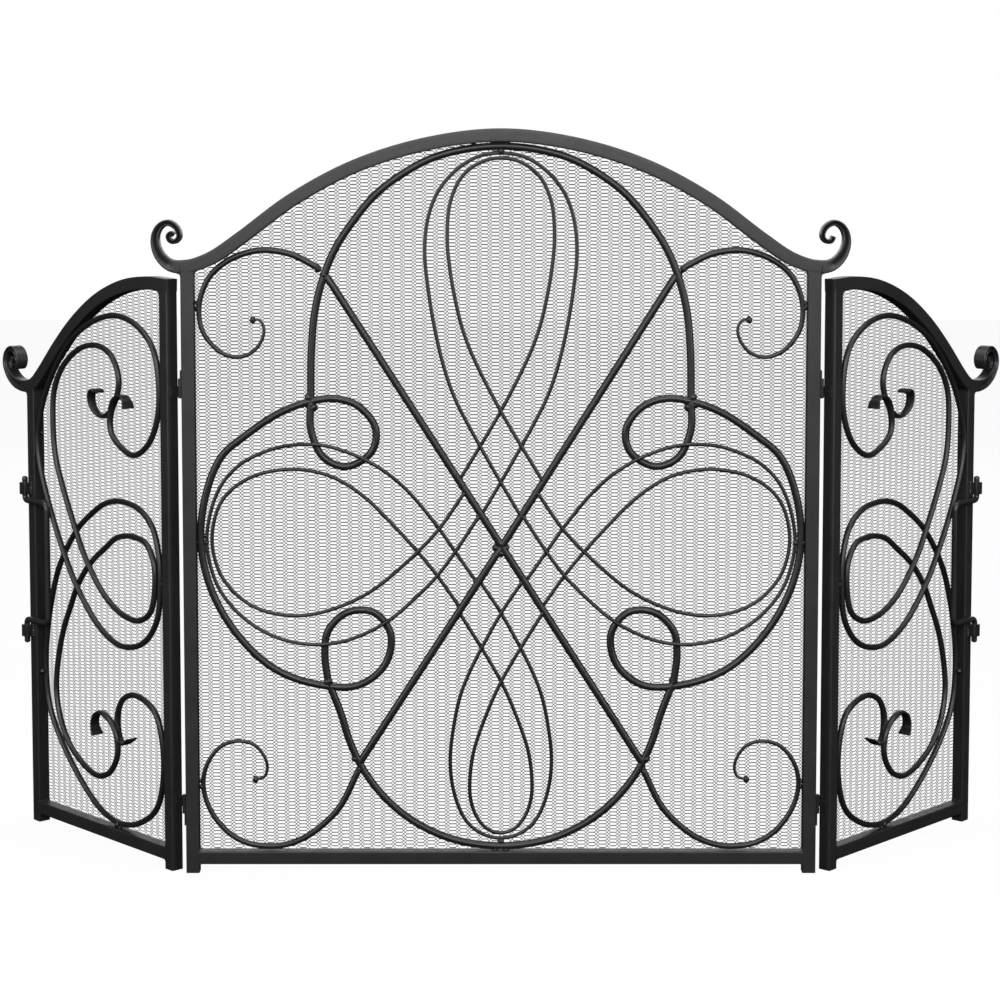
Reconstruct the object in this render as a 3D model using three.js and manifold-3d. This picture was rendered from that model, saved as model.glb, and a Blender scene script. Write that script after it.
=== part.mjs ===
// A three-panel fireplace screen in black powder-coated steel: a tall arched centre panel between
// two side panels that hang on it by loose-pin hinges and stand angled back. Each panel is a frame
// of square tube with a wire mesh and welded scrollwork, and each side panel has a swinging handle.
//
// Millimetres, +Z up, +X to the right, +Y towards the fire. Z = 0 is the floor, and the origin is
// the middle of the footprint. Inside a panel, u runs away from the panel's reference edge, w is the
// depth behind the panel's front face, and z is the height.
import * as THREE from 'three';
import { mergeVertices } from 'three/addons/utils/BufferGeometryUtils.js';
import Module from 'manifold-3d';

const wasm = await Module();
wasm.setup();

// Frames
const TUBE = 15;
const WALL = 1.2;
const GAP = 0.3;
const FOOT = 9.8;
const CENTRE_HALF = 355.5;
const SIDE_WIDTH = 292;
const MESH_DEPTH = 13.7;
const MESH_THICKNESS = 0.6;

// Hinges: the pin stands between the stiles, just behind their back faces
const PANEL_ANGLE = THREE.MathUtils.degToRad(47);
const STILE_GAP = 6;
const PIN_DEPTH = 15.6;
const PIN_RADIUS = 1.5;
const KNUCKLE_BORE = 1.8;
const KNUCKLE_RADIUS = 2.6;
const LEAF_THICKNESS = 1.4;
const LEAF_HEIGHT = 18;
const KNUCKLE_HEIGHT = 12.6;
const HINGES = { upper: { z: 551.6, up: 1 }, lower: { z: 72.6, up: -1 } };

// Scrollwork bars
const BAR_RADIUS = 4.25;
const BAR_DEPTH = 7;
const ROD_RADIUS = 2.1;
const ROD_FRONT = 4.6;
const ROD_BACK = 9.2;
const ROD_OVER_LOOP = 0.6;
const SIDE_BAR_RADIUS = 3.4;
const SIDE_BAR_FRONT = 3;
const SIDE_BAR_BACK = 9.95;
const SECTION_SIDES = 6;

// Handles: a bail of round rod whose bent ends turn in two sockets on the outer stile
const HANDLE_RADIUS = 3.5;
const HANDLE_Z = 321.5;
const HANDLE_HALF_GRIP = 72.5;
const HANDLE_REACH = 47;
const HANDLE_BEND = 9;
const PIVOT_IN = 1;
const PIVOT_FRONT = 4.6;
const SOCKET_START = 79.5;
const SOCKET_HEIGHT = 14.5;
const SOCKET_BORE = 3.8;
const SOCKET_HALF = 6.5;
const SOCKET_DEPTH = 9.2;
const ROD_TIP = 5.3;

const STEEL = { color: 0x2b2b2c, roughness: 0.55, metalness: 0.35 };

// ---------------------------------------------------------------- centrelines, as [u, z]

// Half of the centre rail's ogee, from the crown to its end over the stile
const CENTRE_RAIL = [
  [0, 830.7], [80, 821.5], [160, 797], [230, 760], [289, 716.5], [320, 695.5], [344, 686.3],
  [355.5, 685],
];
const SIDE_RAIL = [
  [0, 664], [40, 665.5], [88, 660], [140, 642.5], [187, 615], [225, 584.5], [262, 549.5],
  [277, 537], [286, 532.5], [292, 531.5],
];
const CENTRE_VOLUTE = [
  [357.7, 684.9], [366, 686.8], [374, 692.5], [380, 701], [383, 712], [382, 722.5], [377, 730.5],
  [369.5, 734], [362.5, 731.5], [357.5, 725.5], [356.5, 718.5], [360.5, 713.5], [366, 714],
  [368.5, 719],
];
const SIDE_VOLUTE = [
  [293.8, 531.3], [306, 531.2], [321, 534.5], [334, 543.5], [341, 556], [338.5, 568], [329, 574.5],
  [319, 571.5], [314, 562], [317.5, 553.5], [325.5, 553], [328, 559],
];

// The cross of straight bars, from the crossing to the tips of its upper and lower arms
const CROSS_MIDDLE = [0, 370];
const CROSS_UPPER = [185, 661];
const CROSS_LOWER = [151, 138];

// Half of the upper and lower lobes, and the whole of a side lobe with the small loop at each end
const TOP_LOBE = [
  [0, 818.5], [40, 815], [77, 805], [112, 786], [140, 764], [168, 730], [185, 703], [198, 671],
  [207, 634], [211, 590], [212, 541.5],
];
const BOTTOM_LOBE = [
  [0, 29.5], [46, 35], [77, 46], [106, 63], [129, 83], [148, 106], [160, 126], [172, 154],
  [179, 178], [189.5, 206],
];
const SIDE_LOBE = [
  [212, 529.5], [212, 503], [198, 472], [172, 462], [144, 479], [140, 505], [158, 529],
  [183, 538], [212, 535], [247, 522], [286, 496], [312, 473], [330, 430], [336, 376], [325, 323],
  [297, 273], [255, 233], [207, 215], [160, 214], [130, 238], [124, 273], [143, 297], [172, 297],
  [194, 276], [198, 250], [194.5, 220],
];
const UPPER_CORNER_SCROLL = [
  [207, 686], [230, 698], [248, 702.5], [267, 703.5], [286, 699.5], [302, 692.5], [318, 680.5],
  [328, 666.5], [334.5, 647.5], [335.5, 630.5], [332, 614], [323, 600], [311, 589.5], [295, 584.5],
  [280, 588], [270, 597], [264, 609.5], [264, 619], [269, 626], [278, 628],
];
const LOWER_CORNER_SCROLL = [
  [164, 111], [181, 76], [200, 55], [223, 38.5], [246, 30.5], [267, 29.5], [287, 33], [307, 44],
  [323, 62], [332.5, 81], [336, 100], [333.5, 118], [325, 134.5], [313, 145.5], [295, 150],
  [278, 145.5], [267, 132.5], [263.5, 120], [267, 109.5], [278, 104],
];

// Half of the upper and lower petals, from the tip to where the rod has crossed its own mirror
const TOP_PETAL_INNER = [
  [0, 805.5], [22, 801], [43, 785], [56, 757], [59.5, 718], [57, 686], [51, 650], [42, 614],
  [30, 583], [0, 524], [-43.5, 451],
];
const TOP_PETAL_OUTER = [
  [0, 811], [28, 806], [53, 789], [71, 766], [81, 738], [84.5, 702], [80, 655], [73, 614],
  [63, 572], [51, 538], [37, 510], [0, 444], [-18.6, 412.5],
];
const BOTTOM_PETAL_INNER = [
  [0, 44.5], [15, 49], [27, 63], [34, 83], [35, 106], [31, 137], [22, 166], [0, 218], [-44, 292],
];
const BOTTOM_PETAL_OUTER = [
  [0, 38.5], [20, 43], [37, 56], [48, 76], [55, 102], [57, 132], [53, 168], [46, 201], [34, 232],
  [0, 296], [-20.5, 327],
];

// The whole of a side petal, from its end below the crossing round the tip to its end above it
const SIDE_PETAL_INNER = [
  [49.5, 307], [72, 339], [94, 366], [124, 399], [148, 423], [172, 441], [196, 452.5], [231, 458.5],
  [267, 454], [290, 444], [307, 430], [318, 411], [323.5, 377], [316, 344], [302, 323], [283, 307],
  [259, 297], [231, 293.5], [207, 296], [183, 303], [160, 313], [136, 328], [93, 366], [69, 392],
  [44, 428],
];
const SIDE_PETAL_OUTER = [
  [31.5, 337], [51, 365], [69, 391], [101, 431], [124, 453], [148, 468.5], [172, 479], [196, 486],
  [217, 487.5], [243, 484.5], [267, 477], [290, 465], [310, 445], [323, 417], [329.5, 376],
  [321, 335], [309, 313], [290, 292], [267, 276], [243, 266], [217, 262], [196, 262], [172, 266.5],
  [148, 276], [124, 290], [101, 309], [72, 338], [51, 366], [28, 401],
];
// Where a side petal's outer rod runs in front of the lobe's small loops
const LOOP_SPAN = { rise: [88, 122], fall: [218, 250] };

// The side panels' bars, from the upper end to the lower end
const OUTER_SCROLL = [
  [84, 528], [103, 529.5], [118, 522], [124.5, 507], [119, 491], [100, 476.5], [72, 467.5],
  [43, 482], [25, 510], [20, 545], [30, 590], [60, 615], [102, 625.5], [150, 617], [197, 593],
  [234, 556], [259, 517], [273, 475], [271, 445], [254, 400], [224, 345], [192, 300], [146, 259],
  [102, 243], [57, 253], [31, 282], [24.5, 325], [28, 356], [42, 388], [67, 404.5], [92, 409.5],
  [118, 409.5], [145, 402.5], [168, 390], [192, 374], [214, 353], [242, 315], [260, 270],
  [270.5, 226], [273, 186], [267, 146], [245, 110], [206, 70], [167, 42], [143, 32.5],
  [118, 29], [82, 36], [45, 60], [31, 94], [31, 140], [46, 174], [86, 186.5], [116, 172],
  [124.5, 152], [116, 129], [102, 123.5], [81, 133],
];
const INNER_SCROLL = [
  [141, 537], [157, 535], [162.5, 525], [158, 513], [142, 506.5], [128, 513], [117, 527],
  [110, 545], [113, 562], [126, 579], [148, 587.5], [174, 586.5], [200, 576], [224, 556],
  [238, 530], [240, 495], [235, 453], [220, 417], [198, 376], [175, 339], [140, 302],
  [104, 282], [66, 277.5], [42, 291], [34, 320], [38, 350], [54, 367.5], [76, 372], [99, 371],
  [121, 365], [143, 351], [167, 335], [187, 317], [204, 296], [217, 273], [233, 243], [245, 208],
  [250, 173], [246, 150], [235, 127], [217, 106], [192, 91], [167, 82], [148, 81], [126, 91],
  [111.5, 115], [114, 140], [128, 156], [141, 157.5], [155, 150], [161, 139], [157, 131],
  [141, 133.5],
];

// ---------------------------------------------------------------- helpers

const { lerp, smoothstep } = THREE.MathUtils;

const mirrorU = (route) => route.map(([u, ...rest]) => [-u, ...rest]);
const wholeFromHalf = (half) => [...mirrorU(half).reverse(), ...half.slice(1)];
const sideOf = (side, route) => (side > 0 ? route : mirrorU(route));

// A route of [u, z] or [u, z, w] points as a smooth curve at a given depth
function curveOf(route, depth) {
  const points = route.map(([u, z, w]) => new THREE.Vector3(u, w ?? depth, z));
  return new THREE.CatmullRomCurve3(points, false, 'centripetal');
}

function polygon(radius, sides = SECTION_SIDES) {
  const corner = (_, i) => {
    const angle = (2 * Math.PI * i) / sides;
    return new THREE.Vector2(radius * Math.cos(angle), radius * Math.sin(angle));
  };
  return Array.from({ length: sides }, corner);
}

function square(half) {
  return [[-half, -half], [half, -half], [half, half], [-half, half]].map(
    ([x, y]) => new THREE.Vector2(x, y),
  );
}

function barAlong(curve, radius, steps) {
  const section = new THREE.Shape(polygon(radius));
  return new THREE.ExtrudeGeometry(section, { steps, bevelEnabled: false, extrudePath: curve });
}

function hollowTubeAlong(curve, steps) {
  const section = new THREE.Shape(square(TUBE / 2));
  section.holes.push(new THREE.Path(square(TUBE / 2 - WALL)));
  return new THREE.ExtrudeGeometry(section, { steps, bevelEnabled: false, extrudePath: curve });
}

// A bar whose section changes along it: sectionAt(t) lists offsets across the bar and in depth
function taperedBar(curve, steps, sectionAt) {
  const depthAxis = new THREE.Vector3(0, 1, 0);
  const positions = [];
  let sides = 0;
  for (let i = 0; i <= steps; i += 1) {
    const t = i / steps;
    const centre = curve.getPointAt(t);
    const across = depthAxis.clone().cross(curve.getTangentAt(t)).normalize();
    const section = sectionAt(t);
    sides = section.length;
    for (const { x, y } of section) {
      const corner = centre.clone().addScaledVector(across, x).addScaledVector(depthAxis, y);
      positions.push(corner.x, corner.y, corner.z);
    }
  }
  const faces = [];
  for (let i = 0; i < steps; i += 1) {
    for (let j = 0; j < sides; j += 1) {
      const a = i * sides + j;
      const b = i * sides + ((j + 1) % sides);
      faces.push(a, b, b + sides, a, b + sides, a + sides);
    }
  }
  const last = steps * sides;
  for (let j = 1; j < sides - 1; j += 1) {
    faces.push(0, j + 1, j, last, last + j, last + j + 1);
  }
  const geometry = new THREE.BufferGeometry();
  geometry.setAttribute('position', new THREE.Float32BufferAttribute(positions, 3));
  geometry.setIndex(faces);
  return geometry;
}

function block([u0, u1], [w0, w1], [z0, z1]) {
  const geometry = new THREE.BoxGeometry(u1 - u0, w1 - w0, z1 - z0);
  return geometry.translate((u0 + u1) / 2, (w0 + w1) / 2, (z0 + z1) / 2);
}

function upright(radius, u, w, [z0, z1], sides = 10) {
  const geometry = new THREE.CylinderGeometry(radius, radius, z1 - z0, sides);
  return geometry.rotateX(Math.PI / 2).translate(u, w, (z0 + z1) / 2);
}

// A flat outline of [u, z] points given thickness from depth w0 to w1
function plate(outline, [w0, w1]) {
  const shape = new THREE.Shape(outline.map(([u, z]) => new THREE.Vector2(u, z)));
  const geometry = new THREE.ExtrudeGeometry(shape, { depth: w1 - w0, bevelEnabled: false });
  return geometry.rotateX(Math.PI / 2).translate(0, w1, 0);
}

function solid(geometry) {
  const bare = geometry.clone();
  bare.deleteAttribute('normal');
  bare.deleteAttribute('uv');
  const merged = mergeVertices(bare, 1e-3);
  return new wasm.Manifold(
    new wasm.Mesh({
      numProp: 3,
      vertProperties: merged.attributes.position.array,
      triVerts: new Uint32Array(merged.index.array),
    }),
  );
}

function geometryOf(manifold) {
  const { vertProperties, triVerts } = manifold.getMesh();
  const geometry = new THREE.BufferGeometry();
  geometry.setAttribute('position', new THREE.Float32BufferAttribute(vertProperties, 3));
  geometry.setIndex(Array.from(triVerts));
  return geometry;
}

function named(name, geometry) {
  const mesh = new THREE.Mesh(geometry, new THREE.MeshStandardMaterial(STEEL));
  mesh.name = name;
  return mesh;
}

// ---------------------------------------------------------------- frames

// The line a set distance below a rail's centreline, as [u, z] points
function below(curve, distance, samples = 28) {
  return Array.from({ length: samples + 1 }, (_, i) => {
    const point = curve.getPointAt(i / samples);
    const tangent = curve.getTangentAt(i / samples);
    return [point.x + tangent.z * distance, point.z - tangent.x * distance];
  });
}

function heightOn(line, u) {
  const found = line.findIndex(([x]) => x >= u);
  const next = found < 0 ? line.length - 1 : Math.max(found, 1);
  const [x1, z1] = line[next];
  const [x0, z0] = line[next - 1];
  return lerp(z0, z1, (u - x0) / (x1 - x0));
}

// An upright tube from the floor to the rail's underside, cut to the rail's slope
function stile([u0, u1], underside) {
  const top = [u0, u1].map((u) => heightOn(underside, u));
  const over = Math.max(...top) + TUBE;
  const tube = solid(block([u0, u1], [0, TUBE], [0, over]));
  const bore = solid(block([u0 + WALL, u1 - WALL], [WALL, TUBE - WALL], [-TUBE, over + TUBE]));
  const lean = (top[1] - top[0]) / (u1 - u0);
  const scrap = solid(
    plate(
      [
        [u0 - TUBE, top[0] - lean * TUBE],
        [u1 + TUBE, top[1] + lean * TUBE],
        [u1 + TUBE, over + 2 * TUBE],
        [u0 - TUBE, over + 2 * TUBE],
      ],
      [-TUBE, 2 * TUBE],
    ),
  );
  return geometryOf(tube.subtract(bore).subtract(scrap));
}

function bottomRail(u0, u1) {
  const tube = solid(block([u0, u1], [0, TUBE], [FOOT, FOOT + TUBE]));
  const bore = block([u0 - 1, u1 + 1], [WALL, TUBE - WALL], [FOOT + WALL, FOOT + TUBE - WALL]);
  return geometryOf(tube.subtract(solid(bore)));
}

// The wire mesh's sheet, which fills the frame up to the rail's underside
function meshSheet(u0, u1, underside) {
  const floor = FOOT + TUBE + GAP;
  const arch = underside.filter(([u]) => u > u0 && u < u1).reverse();
  const outline = [
    [u0, floor],
    [u1, floor],
    [u1, heightOn(underside, u1)],
    ...arch,
    [u0, heightOn(underside, u0)],
  ];
  return plate(outline, [MESH_DEPTH, MESH_DEPTH + MESH_THICKNESS]);
}

// A forged bar that curls up from the end of a rail, thinning towards its eye
function volute(route, steps) {
  const sectionAt = (t) => {
    const across = lerp(6.2, 2.8, Math.pow(t, 0.8));
    const depth = lerp(7, 4.5, t);
    return [[-across, -depth], [across, -depth], [across, depth], [-across, depth]].map(
      ([x, y]) => new THREE.Vector2(x, y),
    );
  };
  return taperedBar(curveOf(route, TUBE / 2), steps, sectionAt);
}

// ---------------------------------------------------------------- scrollwork

function cornerScroll(route, steps) {
  return taperedBar(curveOf(route, BAR_DEPTH), steps, (t) => polygon(lerp(3.5, 1.5, t * t)));
}

// A thin rod that lies in the front layer at one end and in the back layer at the other, so that it
// can cross itself and its neighbour. Over a small loop it comes forward of the loop.
function petalRod(route, steps, overLoops = false, reverse = false) {
  const layered = route.map(([u, z], i) => {
    const share = smoothstep(i / (route.length - 1), 0.25, 0.75);
    const layer = lerp(ROD_FRONT, ROD_BACK, reverse ? 1 - share : share);
    const across = Math.abs(u);
    const over = overLoops
      ? smoothstep(across, ...LOOP_SPAN.rise) - smoothstep(across, ...LOOP_SPAN.fall)
      : 0;
    return [u, z, lerp(layer, ROD_OVER_LOOP, over)];
  });
  return barAlong(curveOf(layered), ROD_RADIUS, steps);
}

// A side panel's bar: layerAt(t) is 0 in the front layer and 1 in the back layer
function sideScroll(side, route, steps, layerAt) {
  const layered = route.map(([u, z], i) => {
    const layer = layerAt(i / (route.length - 1));
    return [u, z, lerp(SIDE_BAR_FRONT, SIDE_BAR_BACK, layer)];
  });
  return barAlong(curveOf(sideOf(side, layered)), SIDE_BAR_RADIUS, steps);
}

const outerScrollLayer = (t) => smoothstep(t, 0.42, 0.58);
const innerScrollLayer = (t) =>
  1 - smoothstep(t, 0.19, 0.33) + smoothstep(t, 0.43, 0.57) - smoothstep(t, 0.67, 0.81);

function straightBar(from, to) {
  const [start, end] = [from, to].map(([u, z]) => new THREE.Vector3(u, BAR_DEPTH, z));
  return barAlong(new THREE.LineCurve3(start, end), BAR_RADIUS, 1);
}

// A point a given distance from one end of a straight run
function along([u0, z0], [u1, z1], distance) {
  const t = distance / Math.hypot(u1 - u0, z1 - z0);
  return [lerp(u0, u1, t), lerp(z0, z1, t)];
}

// ---------------------------------------------------------------- hinges and handles

// One leaf of a hinge: a plate on the stile's side face, and a knuckle round the pin
function hingeLeaf(side, [plateLow, plateHigh], [knuckleLow, knuckleHigh], facing) {
  const pinU = (side * STILE_GAP) / 2;
  const face = facing * side * GAP;
  const outer = facing * side * (GAP + LEAF_THICKNESS);
  const leaf = block(
    [Math.min(face, outer), Math.max(face, outer)],
    [2, PIN_DEPTH],
    [plateLow, plateHigh],
  );
  const knuckle = upright(KNUCKLE_RADIUS, facing * pinU, PIN_DEPTH, [knuckleLow, knuckleHigh]);
  const reach = [knuckleLow - 1, knuckleHigh + 1];
  const bore = upright(KNUCKLE_BORE, facing * pinU, PIN_DEPTH, reach);
  return geometryOf(solid(leaf).add(solid(knuckle)).subtract(solid(bore)));
}

function hingeLevels({ z, up }) {
  const order = (a, b) => [Math.min(a, b), Math.max(a, b)];
  return {
    centreLeaf: order(z + up * GAP, z + up * (LEAF_HEIGHT + GAP)),
    centreKnuckle: order(z + up * GAP, z + up * 8),
    sideLeaf: order(z - up * KNUCKLE_HEIGHT, z),
    sideKnuckle: order(z - up * KNUCKLE_HEIGHT, z),
    pin: order(z - up * (KNUCKLE_HEIGHT + 1.5), z + up * 8.6),
  };
}

// The handle's route: down through the upper socket, along the arm, grip and other arm, and out
// through the lower socket
function bailCurve(side) {
  const pivot = SIDE_WIDTH - PIVOT_IN;
  const grip = pivot - HANDLE_REACH;
  const tip = SOCKET_START + SOCKET_HEIGHT + ROD_TIP;
  const corners = [
    [pivot, HANDLE_Z + tip],
    [pivot, HANDLE_Z + HANDLE_HALF_GRIP],
    [grip, HANDLE_Z + HANDLE_HALF_GRIP],
    [grip, HANDLE_Z - HANDLE_HALF_GRIP],
    [pivot, HANDLE_Z - HANDLE_HALF_GRIP],
    [pivot, HANDLE_Z - tip],
  ].map(([u, z]) => new THREE.Vector3(side * u, -PIVOT_FRONT, z));
  const towards = (from, to, distance) =>
    from.clone().add(to.clone().sub(from).setLength(distance));
  const path = new THREE.CurvePath();
  let start = corners[0];
  for (let i = 1; i < corners.length - 1; i += 1) {
    const bend = i === 1 || i === corners.length - 2 ? HANDLE_BEND - 3 : HANDLE_BEND;
    const entry = towards(corners[i], corners[i - 1], bend);
    const exit = towards(corners[i], corners[i + 1], bend);
    path.add(new THREE.LineCurve3(start, entry));
    path.add(new THREE.QuadraticBezierCurve3(entry, corners[i], exit));
    start = exit;
  }
  path.add(new THREE.LineCurve3(start, corners.at(-1)));
  return path;
}

// A block welded to the stile's front face, over its outer edge, with an upright bore
function socket(side, levels) {
  const pivot = side * (SIDE_WIDTH - PIVOT_IN);
  const body = block([pivot - SOCKET_HALF, pivot + SOCKET_HALF], [-SOCKET_DEPTH, -GAP], levels);
  const bore = upright(SOCKET_BORE, pivot, -PIVOT_FRONT, [levels[0] - 1, levels[1] + 1]);
  return geometryOf(solid(body).subtract(solid(bore)));
}

// ---------------------------------------------------------------- panels

function centrePanel() {
  const panel = new THREE.Group();
  const add = (name, geometry) => panel.add(named(name, geometry));
  const inner = CENTRE_HALF - TUBE;
  const rail = curveOf(wholeFromHalf(CENTRE_RAIL), TUBE / 2);
  const underside = below(rail, TUBE / 2 + GAP, 56);

  add('centre_arch_rail', hollowTubeAlong(rail, 28));
  add('centre_bottom_rail', bottomRail(-inner + GAP, inner - GAP));
  add('centre_mesh', meshSheet(-inner + GAP, inner - GAP, underside));
  add('centre_left_stile', stile([-CENTRE_HALF, -inner], underside));
  add('centre_right_stile', stile([inner, CENTRE_HALF], underside));

  // One bar of the cross runs through, and the other is two halves that meet it
  const left = ([u, z]) => [-u, z];
  add('cross_bar_long', straightBar(left(CROSS_UPPER), CROSS_LOWER));
  const clear = 10.5;
  add('cross_bar_upper', straightBar(along(CROSS_MIDDLE, CROSS_UPPER, clear), CROSS_UPPER));
  const lowerLeft = left(CROSS_LOWER);
  add('cross_bar_lower', straightBar(along(CROSS_MIDDLE, lowerLeft, clear), lowerLeft));

  add('top_lobe', barAlong(curveOf(wholeFromHalf(TOP_LOBE), BAR_DEPTH), BAR_RADIUS, 38));
  add('bottom_lobe', barAlong(curveOf(wholeFromHalf(BOTTOM_LOBE), BAR_DEPTH), BAR_RADIUS, 28));
  add('petal_top_inner', petalRod(wholeFromHalf(TOP_PETAL_INNER), 30));
  add('petal_top_outer', petalRod(wholeFromHalf(TOP_PETAL_OUTER), 32));
  add('petal_bottom_inner', petalRod(wholeFromHalf(BOTTOM_PETAL_INNER), 28));
  add('petal_bottom_outer', petalRod(wholeFromHalf(BOTTOM_PETAL_OUTER), 28));

  for (const [word, side] of [['left', -1], ['right', 1]]) {
    add(`centre_${word}_volute`, volute(sideOf(side, CENTRE_VOLUTE), 16));
    add(`${word}_lobe`, barAlong(curveOf(sideOf(side, SIDE_LOBE), BAR_DEPTH), BAR_RADIUS, 78));
    add(`scroll_upper_${word}`, cornerScroll(sideOf(side, UPPER_CORNER_SCROLL), 24));
    add(`scroll_lower_${word}`, cornerScroll(sideOf(side, LOWER_CORNER_SCROLL), 26));
    add(`petal_${word}_inner`, petalRod(sideOf(side, SIDE_PETAL_INNER), 30, false, true));
    add(`petal_${word}_outer`, petalRod(sideOf(side, SIDE_PETAL_OUTER), 42, true, true));
  }
  return panel;
}

function sidePanel(word, side) {
  const panel = new THREE.Group();
  const add = (name, geometry) => panel.add(named(`${word}_${name}`, geometry));
  const rail = curveOf(sideOf(side, SIDE_RAIL), TUBE / 2);
  const flat = curveOf(SIDE_RAIL, TUBE / 2);
  const underside = below(flat, TUBE / 2 + GAP, 40);
  const ordered = side > 0 ? underside : mirrorU(underside).reverse();
  const span = (u0, u1) => (side > 0 ? [u0, u1] : [-u1, -u0]);

  add('arch_rail', hollowTubeAlong(rail, 18));
  add('bottom_rail', bottomRail(...span(TUBE + GAP, SIDE_WIDTH - TUBE - GAP)));
  add('mesh', meshSheet(...span(TUBE + GAP, SIDE_WIDTH - TUBE - GAP), ordered));
  add('inner_stile', stile(span(0, TUBE), ordered));
  add('outer_stile', stile(span(SIDE_WIDTH - TUBE, SIDE_WIDTH), ordered));
  add('volute', volute(sideOf(side, SIDE_VOLUTE), 16));
  add(
    'outer_scroll',
    sideScroll(side, OUTER_SCROLL, 76, outerScrollLayer),
  );
  add(
    'inner_scroll',
    sideScroll(side, INNER_SCROLL, 72, innerScrollLayer),
  );
  const above = HANDLE_Z + SOCKET_START;
  const under = HANDLE_Z - SOCKET_START;
  add('upper_socket', socket(side, [above, above + SOCKET_HEIGHT]));
  add('lower_socket', socket(side, [under - SOCKET_HEIGHT, under]));
  add('handle_bail', barAlong(bailCurve(side), HANDLE_RADIUS, 44));
  for (const [level, hinge] of Object.entries(HINGES)) {
    const { sideLeaf, sideKnuckle } = hingeLevels(hinge);
    add(`${level}_hinge_side_leaf`, hingeLeaf(side, sideLeaf, sideKnuckle, -1));
  }

  // The panel turns about the pin, from in line with the centre panel to its angle
  const offset = new THREE.Vector3(side * (STILE_GAP / 2), -PIN_DEPTH, 0);
  offset.applyAxisAngle(new THREE.Vector3(0, 0, 1), side * PANEL_ANGLE);
  panel.position.set(side * (CENTRE_HALF + STILE_GAP / 2) + offset.x, PIN_DEPTH + offset.y, 0);
  panel.rotation.z = side * PANEL_ANGLE;
  return panel;
}

// The leaves on the centre panel's outer faces, and the pins
function hingeSet(word, side) {
  const hinges = new THREE.Group();
  for (const [level, hinge] of Object.entries(HINGES)) {
    const { centreLeaf, centreKnuckle, pin } = hingeLevels(hinge);
    const leaf = hingeLeaf(side, centreLeaf, centreKnuckle, 1);
    const rod = upright(PIN_RADIUS, (side * STILE_GAP) / 2, PIN_DEPTH, pin);
    hinges.add(named(`${word}_${level}_hinge_centre_leaf`, leaf));
    hinges.add(named(`${word}_${level}_hinge_pin`, rod));
  }
  hinges.position.x = side * CENTRE_HALF;
  return hinges;
}

const assembly = new THREE.Group();
assembly.add(centrePanel());
for (const [word, side] of [['left', -1], ['right', 1]]) {
  assembly.add(sidePanel(word, side), hingeSet(word, side));
}

// The origin is the middle of the footprint
const bounds = new THREE.Box3().setFromObject(assembly, true);
assembly.position.y = -(bounds.min.y + bounds.max.y) / 2;

const screen = new THREE.Group();
screen.add(assembly);

export default screen;
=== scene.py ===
"""The looks of a three-panel fireplace screen in black powder-coated steel, built round its CAD frame.

Shapes are worked out in millimetres in each panel's own directions: u runs away from the panel's
reference edge, w is the depth behind its front face and z is the height. Panel.place() turns them
into metres in the frame's own space. The routes follow the CAD frame's, and the ends of the bars
differ where the real ones are hammered.
"""
import math

import bmesh
import bpy
import numpy as np
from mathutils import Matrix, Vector, noise


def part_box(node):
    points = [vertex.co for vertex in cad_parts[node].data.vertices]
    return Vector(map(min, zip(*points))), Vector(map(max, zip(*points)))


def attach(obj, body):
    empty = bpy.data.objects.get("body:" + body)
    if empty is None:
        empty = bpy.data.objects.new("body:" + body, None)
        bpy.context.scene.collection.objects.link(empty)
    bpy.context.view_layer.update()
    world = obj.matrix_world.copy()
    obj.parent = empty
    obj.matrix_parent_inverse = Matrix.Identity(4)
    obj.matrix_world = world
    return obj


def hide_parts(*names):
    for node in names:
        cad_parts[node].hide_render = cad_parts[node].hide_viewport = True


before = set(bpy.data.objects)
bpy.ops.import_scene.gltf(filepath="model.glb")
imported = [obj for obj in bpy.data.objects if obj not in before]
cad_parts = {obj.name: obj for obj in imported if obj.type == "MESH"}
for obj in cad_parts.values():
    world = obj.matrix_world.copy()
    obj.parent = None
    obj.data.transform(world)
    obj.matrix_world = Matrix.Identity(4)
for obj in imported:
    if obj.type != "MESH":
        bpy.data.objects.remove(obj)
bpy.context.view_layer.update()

MM = 0.001

# ---------------------------------------------------------------- sizes, in millimetres

TUBE = 15.0
TUBE_CORNER = 1.3
FOOT = 9.8
CENTRE_HALF = 355.5
SIDE_WIDTH = 292.0
WELD_SINK = 4.0
STILE_INSET = 0.05
RAIL_INSET = 0.09
RAIL_OVERLAP = 1.0
CORNER_FILLET = 2.2
FILLET_SINK = 0.6
FILLET_MARGIN = 0.5
EYE_HALF_WIDTH = 2.5
CRUSH_GROOVE = 3.6
CRUSH_BULGE = 0.4

PANEL_ANGLE = math.radians(47)
STILE_GAP = 6.0
PIN_DEPTH = 15.6
PIN_RADIUS = 1.5
KNUCKLE_BORE = 1.8
KNUCKLE_RADIUS = 2.6
KNUCKLE_HEIGHT = 12.6
LEAF_THICKNESS = 1.4
LEAF_HEIGHT = 18.0
LEAF_GAP = 0.3
CENTRE_KNUCKLE_HEIGHT = 8.0
PIN_HEAD = 1.5
PIN_TIP = 8.6
HINGES = {"upper": (551.6, 1), "lower": (72.6, -1)}

BAR_RADIUS = 4.25
BAR_DEPTH = 7.0
ROD_RADIUS = 2.1
ROD_FRONT, ROD_BACK, ROD_OVER_LOOP = 4.6, 9.2, 0.6
ROD_REACH = 5.0
CROSS_REACH = 15.0
PETAL_CHANGE = (0.25, 0.75)
CORNER_SCROLL_RADII = (3.7, 1.5)
CORNER_SCROLL_TAPER = 1.8
KNOB_RADII = (3.4, 3.2, 4.0)
SIDE_BAR_RADIUS = 3.4
SIDE_BAR_FRONT, SIDE_BAR_BACK = 3.0, 9.95

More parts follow.
